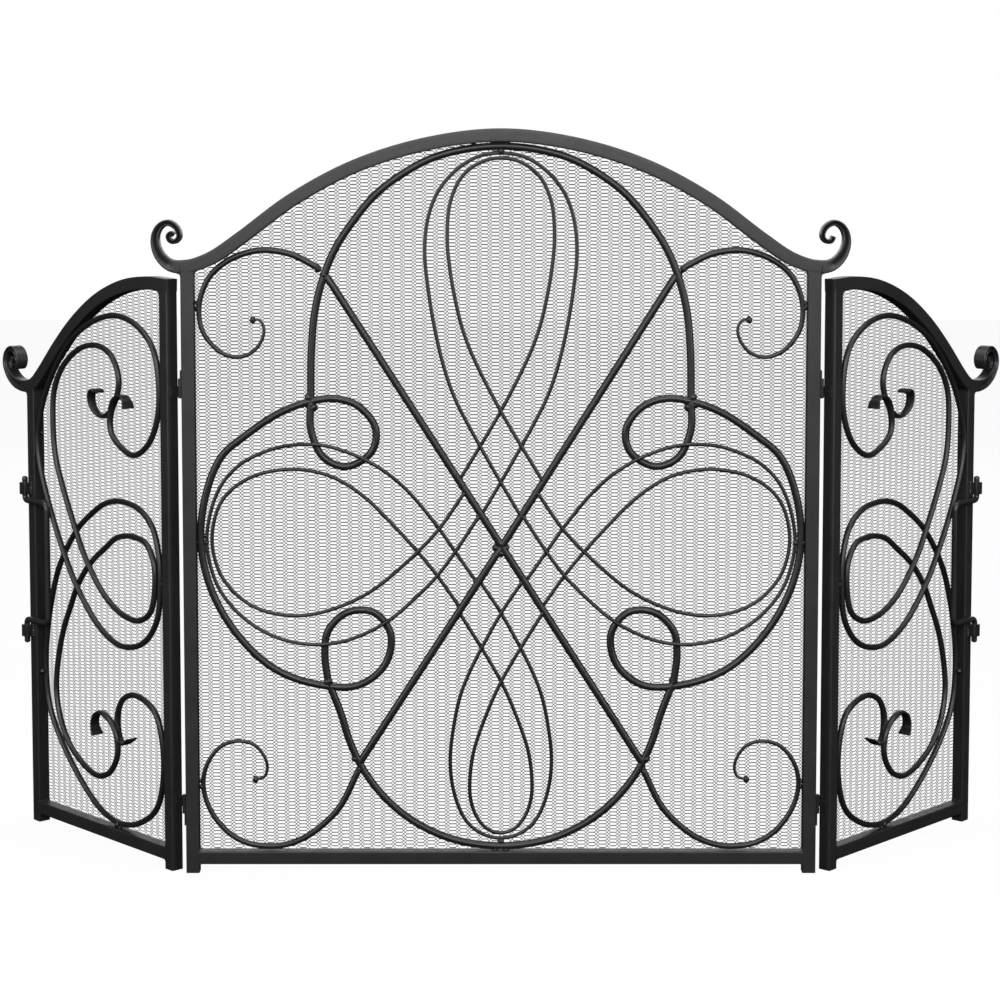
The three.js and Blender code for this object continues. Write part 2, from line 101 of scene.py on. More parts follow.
HANDLE_RADIUS = 3.5
HANDLE_Z = 321.5
HANDLE_HALF_GRIP = 72.5
HANDLE_REACH = 47.0
HANDLE_BEND = 9.0
PIVOT_IN, PIVOT_FRONT = 1.0, 4.6
SOCKET_START, SOCKET_HEIGHT = 79.5, 14.5
SOCKET_BORE, SOCKET_HALF, SOCKET_DEPTH = 3.8, 6.5, 9.2
ROD_TIP = 5.3
SOCKET_BEND = 6.0
SOCKET_EDGE = 0.6
SOCKET_WELD = (1.6, 1.5, 2.3)

WIRE_RADIUS = 0.33
WIRE_COLUMN = 12.13
WIRE_ROW = 3.92
WIRE_DASH = 6.2
WIRE_SIDES = 4
WIRE_SINK = 3.0
WIRE_NEST = 0.9

# ---------------------------------------------------------------- centrelines, as [u, z]

CENTRE_RAIL = [
    [0, 830.7], [80, 821.5], [160, 797], [230, 760], [289, 716.5], [320, 695.5], [344, 686.3],
    [355.5, 685],
]
SIDE_RAIL = [
    [0, 664], [40, 665.5], [88, 660], [140, 642.5], [187, 615], [225, 584.5], [262, 549.5],
    [277, 537], [286, 532.5], [292, 531.5],
]
CENTRE_VOLUTE = [
    [366, 686.8], [374, 692.5], [380, 701], [383, 712], [382, 722.5], [377, 730.5],
    [369.5, 734], [362.5, 731.5], [357.5, 725.5], [356.5, 718.5], [360.5, 713.5], [366, 714],
    [368.5, 719],
]
LEFT_VOLUTE_EYE = [[365.5, 722.5], [362.5, 720.5]]
SIDE_VOLUTE = [
    [306, 531.2], [321, 534.5], [334, 543.5], [341, 556], [338.5, 568], [329, 574.5],
    [319, 571.5], [314, 562], [317.5, 553.5], [325.5, 553], [328, 559],
]
SIDE_VOLUTE_EYE = [[325.5, 563], [322, 561]]

CROSS_MIDDLE = [0, 370]
CROSS_UPPER = [185, 661]
CROSS_LOWER = [151, 138]

TOP_LOBE = [
    [0, 818.5], [40, 815], [77, 805], [112, 786], [140, 764], [168, 730], [185, 703], [198, 671],
    [207, 634], [211, 590], [212, 536],
]
BOTTOM_LOBE = [
    [0, 29.5], [46, 35], [77, 46], [106, 63], [129, 83], [148, 106], [160, 126], [172, 154],
    [179, 178], [189.5, 206], [193.5, 216],
]
SIDE_LOBE = [
    [212, 534], [212, 503], [198, 472], [172, 462], [144, 479], [140, 505], [158, 529],
    [183, 538], [212, 535], [247, 522], [286, 496], [312, 473], [330, 430], [336, 376], [325, 323],
    [297, 273], [255, 233], [207, 215], [160, 214], [130, 238], [124, 273], [143, 297], [172, 297],
    [194, 276], [198, 250], [194.5, 218],
]
UPPER_CORNER_SCROLL = [
    [204, 684.5], [230, 698], [248, 702.5], [267, 703.5], [286, 699.5], [302, 692.5],
    [318, 680.5], [328, 666.5], [334.5, 647.5], [335.5, 630.5], [332, 614], [323, 600],
    [311, 589.5], [295, 584.5], [280, 588], [270, 597], [264, 609.5], [264, 619], [269, 626],
    [276, 626],
]
LOWER_CORNER_SCROLL = [
    [161, 116], [181, 76], [200, 55], [223, 38.5], [246, 30.5], [267, 29.5], [287, 33],
    [307, 44], [323, 62], [332.5, 81], [336, 100], [333.5, 118], [325, 134.5], [313, 145.5],
    [295, 150], [278, 145.5], [267, 132.5], [263.5, 120], [267, 109.5], [277, 106],
]

TOP_PETAL_INNER = [
    [0, 805.5], [22, 801], [43, 785], [56, 757], [59.5, 718], [57, 686], [51, 650], [42, 614],
    [30, 583], [0, 524], [-43.5, 451],
]
TOP_PETAL_OUTER = [
    [0, 811], [28, 806], [53, 789], [71, 766], [81, 738], [84.5, 702], [80, 655], [73, 614],
    [63, 572], [51, 538], [37, 510], [0, 444], [-18.6, 412.5],
]
BOTTOM_PETAL_INNER = [
    [0, 44.5], [15, 49], [27, 63], [34, 83], [35, 106], [31, 137], [22, 166], [0, 218], [-44, 292],
]
BOTTOM_PETAL_OUTER = [
    [0, 38.5], [20, 43], [37, 56], [48, 76], [55, 102], [57, 132], [53, 168], [46, 201], [34, 232],
    [0, 296], [-20.5, 327],
]
SIDE_PETAL_INNER = [
    [49.5, 307], [72, 339], [94, 366], [124, 399], [148, 423], [172, 441], [196, 452.5],
    [231, 458.5], [267, 454], [290, 444], [307, 430], [318, 411], [323.5, 377], [316, 344],
    [302, 323], [283, 307], [259, 297], [231, 293.5], [207, 296], [183, 303], [160, 313],
    [136, 328], [93, 366], [69, 392], [44, 428],
]
SIDE_PETAL_OUTER = [
    [31.5, 337], [51, 365], [69, 391], [101, 431], [124, 453], [148, 468.5], [172, 479],
    [196, 486], [217, 487.5], [243, 484.5], [267, 477], [290, 465], [310, 445], [323, 417],
    [329.5, 376], [321, 335], [309, 313], [290, 292], [267, 276], [243, 266], [217, 262],
    [196, 262], [172, 266.5], [148, 276], [124, 290], [101, 309], [72, 338], [51, 366], [28, 401],
]
LOOP_RISE, LOOP_FALL = (88, 122), (218, 250)

# The side panels' bars, whose ends curl over a little more than the CAD frame's plain bars do
OUTER_SCROLL = [
    [84, 520], [86.5, 527.5], [92, 532.5], [99, 533.5], [107.5, 530], [113.5, 523], [117, 512],
    [118.5, 500], [115, 488], [102, 477.5], [72, 467.5], [43, 482], [25, 510], [20, 545],
    [30, 590], [60, 615], [102, 625.5], [150, 617], [197, 593], [234, 556], [259, 517],
    [273, 475], [271, 445], [254, 400], [224, 345], [192, 300], [146, 259], [102, 243],
    [57, 253], [31, 282], [24.5, 325], [28, 356], [42, 388], [67, 404.5], [92, 409.5],
    [118, 409.5], [145, 402.5], [168, 390], [192, 374], [214, 353], [242, 315], [260, 270],
    [270.5, 226], [273, 186], [267, 146], [245, 110], [206, 70], [167, 42], [143, 32.5],
    [118, 29], [82, 36], [45, 60], [31, 94], [31, 140], [46, 174], [86, 186.5], [110, 177],
    [119.5, 162], [121, 149], [118.5, 139], [112.5, 130.5], [104, 127], [95, 129.5], [85.5, 136],
]
INNER_SCROLL = [
    [144, 534.5], [150, 537.5], [157, 535], [160.5, 527], [159, 516], [152, 509], [142, 506.5],
    [128, 513], [117, 527], [110, 545], [113, 562], [126, 579], [148, 587.5], [174, 586.5],
    [200, 576], [224, 556], [238, 530], [240, 495], [235, 453], [220, 417], [198, 376],
    [175, 339], [140, 302], [104, 282], [66, 277.5], [42, 291], [34, 320], [38, 350],
    [54, 367.5], [76, 372], [99, 371], [121, 365], [143, 351], [167, 335], [187, 317],
    [204, 296], [217, 273], [233, 243], [245, 208], [250, 173], [246, 150], [235, 127],
    [217, 106], [192, 91], [167, 82], [148, 81], [126, 91], [111.5, 115], [115, 138],
    [125, 150], [139, 156.5], [149, 157], [156, 153], [160.5, 147], [161.5, 140], [159.5, 134],
    [155.5, 129],
]


# ---------------------------------------------------------------- panels and routes

class Panel:
    """A panel's own directions, and the CAD body that its pieces ride on."""

    def __init__(self, body, origin, u_axis, w_axis):
        self.body = body
        self.origin = np.array(origin)
        self.axes = np.array([[*u_axis, 0], [*w_axis, 0], [0, 0, 1]])

    def place(self, points):
        return self.origin + np.asarray(points, float) @ self.axes * MM


def middle(node):
    low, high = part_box(node)
    return (low + high) / 2


def side_panel(word, side):
    """The side panel's directions, from where its hinge pin stands."""
    pin = middle(f"{word}_upper_hinge_pin")
    cos, sin = math.cos(PANEL_ANGLE), math.sin(PANEL_ANGLE)
    u_axis, w_axis = np.array([side * cos, sin]), np.array([-side * sin, cos])
    corner = np.array([pin.x, pin.y]) + (u_axis * STILE_GAP / 2 - w_axis * PIN_DEPTH) * MM
    return Panel(f"{word}_panel", [*corner, 0], u_axis, w_axis)


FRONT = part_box("centre_left_stile")[0].y
CENTRE = Panel("centre_panel", [0, FRONT, 0], (1, 0), (0, 1))
SIDES = {"left": -1, "right": 1}
SIDE_PANELS = {word: side_panel(word, side) for word, side in SIDES.items()}


def lerp(a, b, t):
    return a + (b - a) * t


def smoothstep(x, low, high):
    t = np.clip((x - low) / (high - low), 0, 1)
    return t * t * (3 - 2 * t)


def mirror_u(route):
    return [[-u, z] for u, z in route]


def whole(half):
    return mirror_u(half)[::-1] + half[1:]


def of_side(side, route):
    return route if side > 0 else mirror_u(route)


def at_depth(route, depth):
    """[u, z] points as [u, w, z] ones. depth is one number, or one for each point."""
    route = np.array(route, float)
    return np.column_stack([route[:, 0], np.broadcast_to(depth, len(route)), route[:, 1]])


def beyond(point, towards, distance):
    """The point that lies a distance past `towards`, on the line from `point`."""
    start, end = np.array(point, float), np.array(towards, float)
    return list(end + (end - start) / np.linalg.norm(end - start) * distance)


def smooth_line(points, step):
    """A centripetal Catmull-Rom curve through the points, in even steps of about that length."""
    points = np.asarray(points, float)
    ends = 2 * points[0] - points[1], 2 * points[-1] - points[-2]
    knots = np.vstack([ends[0], points, ends[1]])
    fine = []
    for a, b, c, d in zip(knots, knots[1:], knots[2:], knots[3:]):
        gaps = [math.sqrt(np.linalg.norm(q - p)) for p, q in ((a, b), (b, c), (c, d))]
        t0, t1, t2, t3 = np.cumsum([0, *gaps])
        t = np.linspace(t1, t2, 24, endpoint=False)[:, None]
        ab = lerp(a, b, (t - t0) / (t1 - t0))
        bc = lerp(b, c, (t - t1) / (t2 - t1))
        cd = lerp(c, d, (t - t2) / (t3 - t2))
        abc = lerp(ab, bc, (t - t0) / (t2 - t0))
        bcd = lerp(bc, cd, (t - t1) / (t3 - t1))
        fine.append(lerp(abc, bcd, (t - t1) / (t2 - t1)))
    return even_steps(np.vstack([*fine, points[-1:]]), step)


def even_steps(line, step):
    lengths = np.cumsum([0, *np.linalg.norm(np.diff(line, axis=0), axis=1)])
    count = max(2, round(lengths[-1] / step))
    at = np.linspace(0, lengths[-1], count + 1)
    return np.column_stack([np.interp(at, lengths, axis) for axis in line.T])


# ---------------------------------------------------------------- shells: (points, faces) in mm

def swept(line, sections):
    """A closed shell whose section at each point of a line is a ring of [across, depth] offsets."""
    tangent = np.gradient(line, axis=0)
    tangent /= np.linalg.norm(tangent, axis=1)[:, None]
    depth = np.array([0, 1, 0]) - tangent * tangent[:, 1:2]
    depth /= np.linalg.norm(depth, axis=1)[:, None]
    across = np.cross(depth, tangent)
    sections = np.broadcast_to(sections, (len(line), *np.shape(sections)[-2:]))
    rings = (
        line[:, None]
        + sections[..., 0:1] * across[:, None]
        + sections[..., 1:2] * depth[:, None]
    )
    rows, sides = rings.shape[:2]
    return rings.reshape(-1, 3), tube_faces(rows, sides) + end_faces(rows, sides)


def tube_faces(rows, sides):
    i, j = np.meshgrid(np.arange(rows - 1), np.arange(sides), indexing="ij")
    a, b = i * sides + j, i * sides + (j + 1) % sides
    return np.stack([a, b, b + sides, a + sides], axis=-1).reshape(-1, 4).tolist()


def end_faces(rows, sides):
    return [list(range(sides))[::-1], list(range((rows - 1) * sides, rows * sides))]


def closing_faces(rows, sides):
    """The faces that join a shell's last ring to its first."""
    last = (rows - 1) * sides
    return [[v + last if v < sides else v - sides for v in face] for face in tube_faces(2, sides)]


def ring_of(radius, sides):
    angle = np.arange(sides) * 2 * math.pi / sides
    return np.column_stack([np.cos(angle), np.sin(angle)]) * radius


def round_bar(points, radius, step=2.5, sides=16, curved=True):
    """A round bar with domed ends. radius is a number, or a function of the share of the length."""
    line = smooth_line(points, step) if curved else even_steps(np.asarray(points, float), step)
    share = np.linspace(0, 1, len(line))
    radii = radius(share) if callable(radius) else np.full(len(line), radius)
    dome = np.radians([80, 55, 28])
    first, last = line[0] - line[1], line[-1] - line[-2]
    first, last = first / np.linalg.norm(first), last / np.linalg.norm(last)
    head = line[0] + np.outer(np.sin(dome) * radii[0] * 0.7, first)
    tail = line[-1] + np.outer(np.sin(dome[::-1]) * radii[-1] * 0.7, last)
    radii = np.concatenate([np.cos(dome) * radii[0], radii, np.cos(dome[::-1]) * radii[-1]])
    rings = ring_of(1, sides) * radii[:, None, None]
    return swept(np.vstack([head, line, tail]), rings)


def rounded_box_section(half_across, half_depth, corner, groove=0.0):
    """A rounded rectangle. A groove folds the two faces that look forwards and back inwards."""
    points = []
    fold = half_across * 0.45
    for turn in range(4):
        sx, sy = [(1, -1), (1, 1), (-1, 1), (-1, -1)][turn]
        centre = np.array([sx * (half_across - corner), sy * (half_depth - corner)])
        start = (turn - 1) * math.pi / 2
        for k in range(4):
            angle = start + k * math.pi / 6
            points.append(centre + corner * np.array([math.cos(angle), math.sin(angle)]))
        if turn in (1, 3):
            side = sy * np.array([0, 1])
            for across in (sx * fold, 0, -sx * fold):
                depth = half_depth - (groove if across == 0 else groove * 0.12)
                points.append(np.array([across, 0]) + side * depth)
    return np.array(points)


SQUARE = rounded_box_section(TUBE / 2, TUBE / 2, TUBE_CORNER)


def straight_tube(start, end, inset):
    scale = (TUBE / 2 - inset) / (TUBE / 2)
    line = even_steps(np.array([start, end], float), 60)
    return swept(line, SQUARE * scale)


def lathe(profile, u, w, sides=32, ring=False):
    """A shell turned about an upright line. profile lists [radius, z]; a ring's closes on itself."""
    profile = np.array(profile, float)
    circle = ring_of(1, sides)
    rows = len(profile)
    points = np.empty((rows, sides, 3))
    points[..., :2] = circle * profile[:, None, 0:1] + np.array([u, w])
    points[..., 2] = profile[:, None, 1]
    rest = closing_faces(rows, sides) if ring else end_faces(rows, sides)
    return points.reshape(-1, 3), tube_faces(rows, sides) + rest


def plate(outline, w0, w1):
    """A flat outline of [u, z] points, seen whole from its first point, from depth w0 to w1."""
    count = len(outline)
    near = at_depth(outline, w0)
    far = at_depth(outline, w1)
    faces = [[i, (i + 1) % count, (i + 1) % count + count, i + count] for i in range(count)]
    for i in range(1, count - 1):
        faces += [[0, i + 1, i], [count, count + i, count + i + 1]]
    return np.vstack([near, far]), faces


def fillet(corner, along_u, along_z, size):
    """A hollow fillet in the corner between two tubes, which reach away along u and along z."""
    corner = np.array(corner, float)
    first = corner + np.array(along_u, float) * size
    second = corner + np.array(along_z, float) * size
    t = np.linspace(0, 1, 9)[:, None]
    arc = (1 - t) ** 2 * first + 2 * t * (1 - t) * corner + t**2 * second
    sunk = corner - (np.array(along_u, float) + np.array(along_z, float)) * FILLET_SINK
    return plate([list(sunk), *arc.tolist()], FILLET_MARGIN, TUBE - FILLET_MARGIN)


def blob(centre, radii, seed):
    """A lump of weld metal."""
    rows, sides = 9, 14
    angle = np.linspace(-math.pi / 2, math.pi / 2, rows + 2)[1:-1]
    points = []
    for a in angle:
        for b in np.arange(sides) * 2 * math.pi / sides:
            way = Vector((math.cos(a) * math.cos(b), math.cos(a) * math.sin(b), math.sin(a)))
            swell = 1 + 0.28 * noise.noise(way * 1.7 + Vector((seed * 3.7, 0, seed)))
            points.append([centre[k] + way[k] * radii[k] * swell for k in range(3)])
    return np.array(points), tube_faces(rows, sides) + end_faces(rows, sides)


def joined(shells):
    points, faces, count = [], [], 0
    for shell_points, shell_faces in shells:
        points.append(shell_points)
        faces += [[v + count for v in face] for face in shell_faces]
        count += len(shell_points)
    return np.vstack(points), faces


# ---------------------------------------------------------------- materials

def principled(name):
    material = bpy.data.materials.new(name)
    material.use_nodes = True
    tree = material.node_tree
    shader = tree.nodes["Principled BSDF"]
    return material, tree, shader


def noise_node(tree, scale, detail, roughness=0.5):
    coordinates = tree.nodes.new("ShaderNodeTexCoord")
    texture = tree.nodes.new("ShaderNodeTexNoise")
    texture.inputs["Scale"].default_value = scale
    texture.inputs["Detail"].default_value = detail
    texture.inputs["Roughness"].default_value = roughness
    tree.links.new(coordinates.outputs["Object"], texture.inputs["Vector"])
    return texture.outputs["Fac"]


def map_range(tree, source, low, high, to_low, to_high):
    node = tree.nodes.new("ShaderNodeMapRange")
    for socket, value in zip(("From Min", "From Max", "To Min", "To Max"),
                             (low, high, to_low, to_high)):
        node.inputs[socket].default_value = value
    tree.links.new(source, node.inputs["Value"])
    return node.outputs["Result"]


def colour_ramp(tree, source, stops):
    ramp = tree.nodes.new("ShaderNodeValToRGB").color_ramp
    node = tree.nodes[-1]
    while len(ramp.elements) < len(stops):
        ramp.elements.new(0.5)
    for element, (position, grey) in zip(ramp.elements, stops):
        element.position = position
        element.color = (grey, grey, grey * 1.02, 1)
    tree.links.new(source, node.inputs["Fac"])
    return node.outputs["Color"]


def powder_coat(name, dark, light, roughness, grain, depth, handled=0.0):
    """Satin black powder coat: cloudy tone, fine orange peel, and gloss that varies where handled."""
    material, tree, shader = principled(name)
    clouds = noise_node(tree, 14, 3)
    colour = colour_ramp(tree, clouds, [(0.3, dark), (0.7, light)])
    tree.links.new(colour, shader.inputs["Base Color"])
    patches = noise_node(tree, 38, 4, 0.6)
    gloss = map_range(tree, patches, 0.3, 0.7, roughness + 0.05, roughness - 0.05 - handled)
    tree.links.new(gloss, shader.inputs["Roughness"])
    shader.inputs["Specular IOR Level"].default_value = 0.5
    peel = noise_node(tree, grain, 2)
    bump = tree.nodes.new("ShaderNodeBump")
    bump.inputs["Strength"].default_value = 0.35
    bump.inputs["Distance"].default_value = depth
    tree.links.new(peel, bump.inputs["Height"])
    tree.links.new(bump.outputs["Normal"], shader.inputs["Normal"])
    return material


MATERIALS = {
    "frame": powder_coat("frame_powder_coat", 0.017, 0.021, 0.42, 850, 0.00012),
    "scrollwork": powder_coat("scrollwork_powder_coat", 0.012, 0.017, 0.36, 1000, 0.00012),
    "mesh": powder_coat("wire_paint", 0.010, 0.016, 0.45, 2400, 0.00003),
    "hinge": powder_coat("hinge_powder_coat", 0.014, 0.020, 0.44, 1100, 0.0001),
    "handle": powder_coat("handle_powder_coat", 0.018, 0.026, 0.34, 950, 0.0001, 0.05),
}


# ---------------------------------------------------------------- pieces

def add_piece(name, panel, shells, slot, stands_for=(), body=None, sharp=42):
    """Makes one object from shells, puts it on its panel and hides the CAD nodes that it stands for.
    """
    points, faces = joined(shells)
    mesh = bpy.data.meshes.new(name)
    mesh.from_pydata(panel.place(points).tolist(), [], faces)
    turn_outwards(mesh)
    mesh.polygons.foreach_set("use_smooth", [True] * len(mesh.polygons))
    mesh.set_sharp_from_angle(angle=math.radians(sharp))
    mesh.materials.append(MATERIALS[slot])
    piece = bpy.data.objects.new(name, mesh)
    bpy.context.scene.collection.objects.link(piece)
    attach(piece, body or panel.body)
    if stands_for:
        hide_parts(*stands_for)
    return piece


def turn_outwards(mesh):
    shape = bmesh.new()
    shape.from_mesh(mesh)
    if shape.calc_volume(signed=True) < 0:
        bmesh.ops.reverse_faces(shape, faces=shape.faces)
        shape.to_mesh(mesh)
    shape.free()


def keep_flats_flat(piece):
    piece.modifiers.new("flats", "WEIGHTED_NORMAL").keep_sharp = True


def add_tube(*args, **options):
    keep_flats_flat(add_piece(*args, **options))


# ---------------------------------------------------------------- frames

def underside_of(rail):
    """The lower edge of a rail, as a function from u to z."""
    line = smooth_line(at_depth(rail, 0), 4)
    tangent = np.gradient(line, axis=0)
    tangent /= np.linalg.norm(tangent, axis=1)[:, None]
    low = line + np.column_stack([tangent[:, 2], tangent[:, 1], -tangent[:, 0]]) * TUBE / 2
    return lambda u: np.interp(u, low[:, 0], low[:, 2])


def crushed_sections(count):
    """The square tube's section as it is flattened and folded towards the volute's eye."""
    sections = []
    for t in np.linspace(0, 1, count):
        flat = 1 - (1 - t) ** 1.8
        across = lerp(TUBE / 2, EYE_HALF_WIDTH, flat)
        groove = CRUSH_GROOVE * smoothstep(t, 0.04, 0.2)
        corner = min(TUBE_CORNER, across * 0.45)
        half_depth = TUBE / 2 + CRUSH_BULGE * flat
        sections.append(rounded_box_section(across, half_depth, corner, groove))
    return np.array(sections)


def cut_line(line, u):
    """Where a line that starts nearer the panel's middle passes u."""
    return int(np.argmax(np.abs(line[:, 0]) >= abs(u)))


def volute_line(rail, curl, extra=()):
    """The volute's line, with the same curve that the rail ends on."""
    line = smooth_line(at_depth([*rail, *curl, *extra], TUBE / 2), 1.0)
    return line[cut_line(line, rail[-1][0]):]


def add_centre_frame():
    inner = CENTRE_HALF - TUBE
    underside = underside_of(whole(CENTRE_RAIL))
    rail = smooth_line(at_depth(whole(CENTRE_RAIL), TUBE / 2), 4)
    add_tube("centre_arch_rail_tube", CENTRE, [swept(rail, SQUARE)], "frame", ["centre_arch_rail"])
    for word, side in SIDES.items():
        u = side * (CENTRE_HALF - TUBE / 2)
        top = float(underside(u)) + WELD_SINK
        stile = straight_tube([u, TUBE / 2, 0], [u, TUBE / 2, top], STILE_INSET)
        corners = [
            fillet([side * inner, underside(side * inner)], (-side, 0.25), (0, -1), 3.2),
            fillet([side * CENTRE_HALF, underside(side * CENTRE_HALF)], (side, 0.02), (0, -1), 3.6),
            fillet([side * inner, FOOT + TUBE], (-side, 0), (0, 1), CORNER_FILLET),
            fillet([side * inner, FOOT], (-side, 0), (0, -1), CORNER_FILLET),
        ]
        nodes = [f"centre_{word}_stile"]
        add_tube(f"centre_{word}_stile_tube", CENTRE, [stile, *corners], "frame", nodes)
        eye = LEFT_VOLUTE_EYE if side < 0 else []
        line = volute_line(CENTRE_RAIL, CENTRE_VOLUTE, eye) * [side, 1, 1]
        nodes = [f"centre_{word}_volute"]
        shells = [swept(line, crushed_sections(len(line)))]
        add_tube(f"centre_{word}_volute_curl", CENTRE, shells, "frame", nodes)
    z = FOOT + TUBE / 2
    reach = inner + RAIL_OVERLAP
    ends = [[-reach, TUBE / 2, z], [reach, TUBE / 2, z]]
    shells = [straight_tube(*ends, RAIL_INSET)]
    add_tube("centre_bottom_rail_tube", CENTRE, shells, "frame", ["centre_bottom_rail"])
    return underside


def add_side_frame(word, panel):
    underside = underside_of(SIDE_RAIL)
    rail = smooth_line(at_depth(SIDE_RAIL, TUBE / 2), 4)
    nodes = [f"{word}_arch_rail"]
    add_tube(f"{word}_arch_rail_tube", panel, [swept(rail, SQUARE)], "frame", nodes)
    for part, u in (("inner", TUBE / 2), ("outer", SIDE_WIDTH - TUBE / 2)):
        top = float(underside(u)) + WELD_SINK
        shells = [straight_tube([u, TUBE / 2, 0], [u, TUBE / 2, top], STILE_INSET)]
        way = 1 if part == "inner" else -1
        edge = u + way * TUBE / 2
        shells += [
            fillet([edge, FOOT + TUBE], (way, 0), (0, 1), CORNER_FILLET),
            fillet([edge, FOOT], (way, 0), (0, -1), CORNER_FILLET),
        ]
        if part == "inner":
            shells.append(fillet([edge, underside(edge)], (1, 0.03), (0, -1), 6))
        else:
            shells.append(fillet([edge, underside(edge)], (-0.72, 0.7), (0, -1), 3))
            outside = [SIDE_WIDTH, underside(SIDE_WIDTH)]
            shells.append(fillet(outside, (1, 0), (0, -1), 4))
        nodes = [f"{word}_{part}_stile"]
        add_tube(f"{word}_{part}_stile_tube", panel, shells, "frame", nodes)
    z = FOOT + TUBE / 2
    near, far = TUBE - RAIL_OVERLAP, SIDE_WIDTH - TUBE + RAIL_OVERLAP
    ends = [[near, TUBE / 2, z], [far, TUBE / 2, z]]
    shells = [straight_tube(*ends, RAIL_INSET)]
    add_tube(f"{word}_bottom_rail_tube", panel, shells, "frame", [f"{word}_bottom_rail"])
    line = volute_line(SIDE_RAIL, SIDE_VOLUTE, SIDE_VOLUTE_EYE)
    shells = [swept(line, crushed_sections(len(line)))]
    add_tube(f"{word}_volute_curl", panel, shells, "frame", [f"{word}_volute"])
    return underside


# ---------------------------------------------------------------- wire mesh

def wire_layer(u0, u1, underside, depth, leaning):
    """One layer of the mesh: wires that run across in level dashes, joined by slopes that pass
    two wires of the other layer. leaning is 1 or -1, and the other layer's is the opposite."""
    left, right = u0 - WIRE_SINK, u1 + WIRE_SINK
    columns = np.arange(math.floor(left / WIRE_COLUMN), math.ceil(right / WIRE_COLUMN))
    middles = (columns + 0.5) * WIRE_COLUMN
    u = np.column_stack([middles - WIRE_DASH / 2, middles + WIRE_DASH / 2]).ravel()
    rise = np.repeat(np.where(columns % 2 == 0, 0, leaning * 1.5 * WIRE_ROW), 2)
    floor = FOOT + TUBE - WIRE_SINK
    ceiling = underside(np.clip(u, u0, u1)) + WIRE_SINK
    rows = np.arange(math.floor(floor / WIRE_ROW) - 2, math.ceil(ceiling.max() / WIRE_ROW) + 2)
    ring = ring_of(WIRE_RADIUS, WIRE_SIDES)
    shells = []
    for row in rows:
        z = row * WIRE_ROW + rise + leaning * WIRE_RADIUS * WIRE_NEST
        inside = (z > floor) & (z < ceiling) & (u > left) & (u < right)
        edges = np.flatnonzero(np.diff(np.concatenate([[0], inside.astype(int), [0]])))
        for start, end in zip(edges[::2], edges[1::2]):
            if end - start < 2:
                continue
            run = slice(start, end)
            line = np.column_stack([u[run], np.full(end - start, depth), z[run]])
            shells.append(swept(line, ring))
    return shells


def add_wire_mesh(panel, name, node, u0, u1, underside, split):
    depth = middle_depth(panel, node)
    layers = {
        "front": wire_layer(u0, u1, underside, depth - WIRE_RADIUS, 1),
        "back": wire_layer(u0, u1, underside, depth + WIRE_RADIUS, -1),
    }
    if split:
        for word, shells in layers.items():
            add_piece(f"{name}_{word}_wires", panel, shells, "mesh", [node], sharp=180)
    else:
        shells = layers["front"] + layers["back"]
        add_piece(f"{name}_wires", panel, shells, "mesh", [node], sharp=180)


def middle_depth(panel, node):
    """How deep the middle of a CAD node lies behind a panel's front face, in millimetres."""
    return float((np.array(middle(node)) - panel.origin) @ panel.axes[1] / MM)


# ---------------------------------------------------------------- scrollwork

def petal(route, over_loops=False, reverse=False):
    """A thin rod that changes from the front layer to the back one, as in the CAD frame."""
    share = smoothstep(np.linspace(0, 1, len(route)), *PETAL_CHANGE)
    depth = lerp(ROD_FRONT, ROD_BACK, 1 - share if reverse else share)
    if over_loops:
        across = np.abs(np.array(route)[:, 0])
        over = smoothstep(across, *LOOP_RISE) - smoothstep(across, *LOOP_FALL)
        depth = lerp(depth, ROD_OVER_LOOP, over)
    points = at_depth(route, depth)
    first, last = points[0] - points[1], points[-1] - points[-2]
    first *= ROD_REACH / np.linalg.norm(first)
    last *= ROD_REACH / np.linalg.norm(last)
    points = np.vstack([points[0] + first, points, points[-1] + last])
    return round_bar(points, ROD_RADIUS, step=3, sides=12)


def straight_bar(start, end):
    return round_bar(at_depth([start, end], BAR_DEPTH), BAR_RADIUS, step=12, curved=False)


def corner_scroll_radius(share):
    return lerp(*CORNER_SCROLL_RADII, share**CORNER_SCROLL_TAPER)


def add_bar(name, panel, shells, node):
    add_piece(name, panel, shells, "scrollwork", [node])


